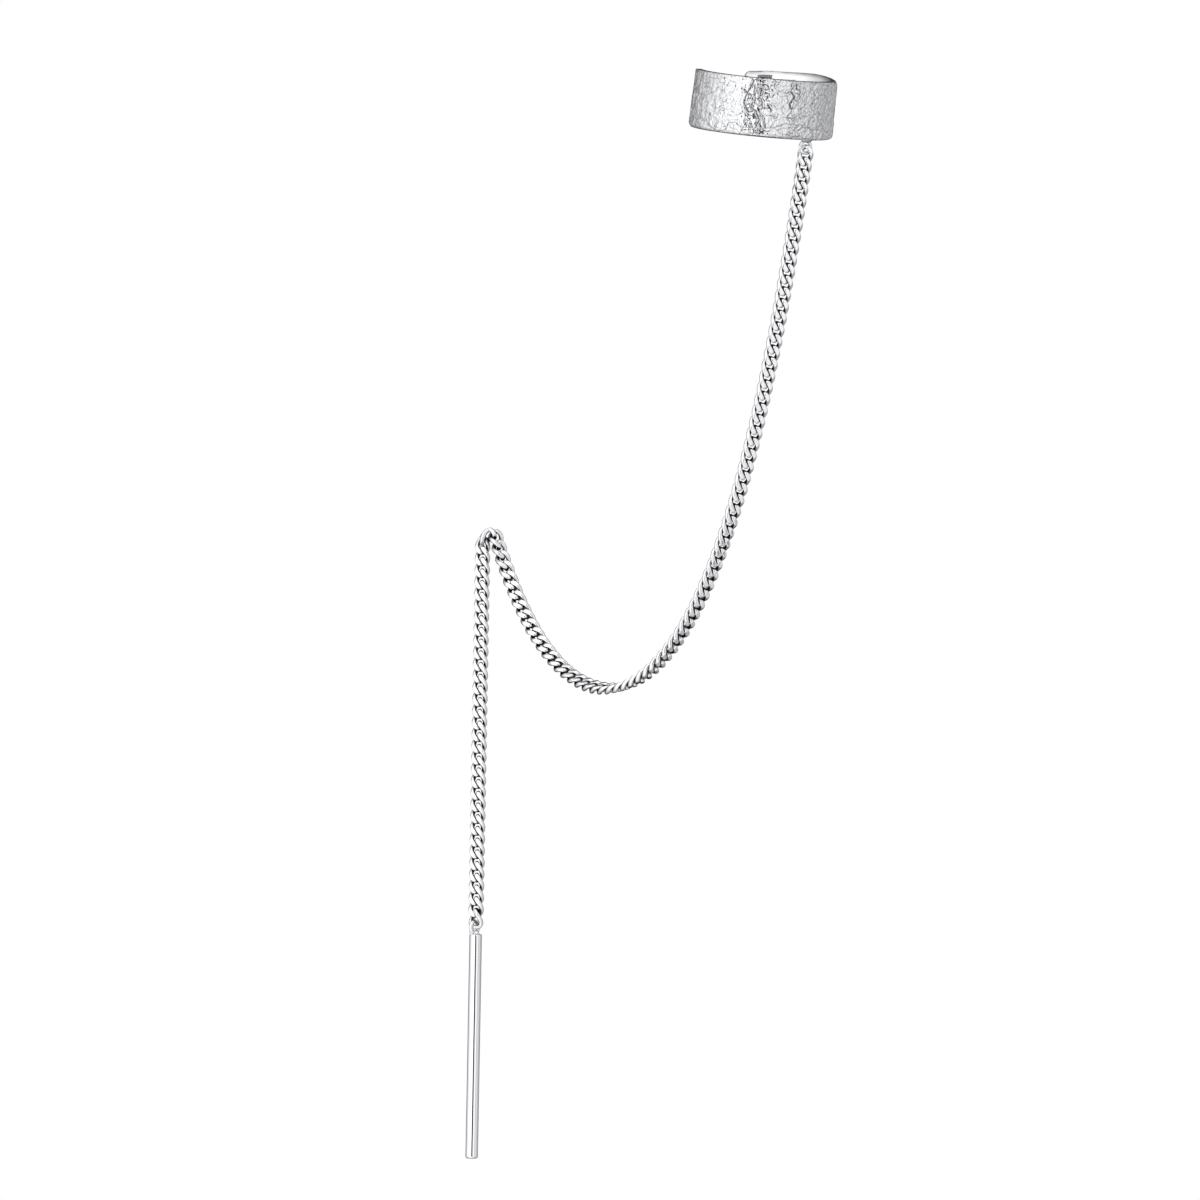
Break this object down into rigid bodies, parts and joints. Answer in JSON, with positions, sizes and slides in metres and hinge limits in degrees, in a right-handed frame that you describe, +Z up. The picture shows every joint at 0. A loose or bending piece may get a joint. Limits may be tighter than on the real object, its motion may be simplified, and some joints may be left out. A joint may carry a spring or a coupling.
{
  "type": "ear chain earring",
  "caption": "Open hammered ear cuff with a fine curb chain that hangs in a free curve, folds over at the lobe and drops straight to a slim threader bar.",
  "frame": {"origin": "centre of the cuff's hollow, where it sits on the rim of the ear", "axes": "+Z up as worn, chain and bar hanging along -Z; +Y points away from the viewer; +X to the viewer's right"},
  "size_m": [0.0283, 0.0315, 0.0888],
  "materials": {
    "cuff_silver": "hammered and polished silver",
    "chain_silver": "polished silver wire",
    "bar_silver": "polished silver"
  },
  "bodies": {
    "cuff_and_chain": {"ear_cuff": "cuff_silver", "chain_swag": "chain_silver", "chain_drop": "chain_silver"},
    "threader_bar": {"threader_bar": "bar_silver"}
  },
  "joints": [
    {"name": "bar_swing", "type": "hinge", "parent": "cuff_and_chain", "child": "threader_bar", "pos_m": [-0.0218, 0.025, -0.06693], "axis": [0.9986, -0.052, 0], "range_deg": [-35, 35]}
  ]
}
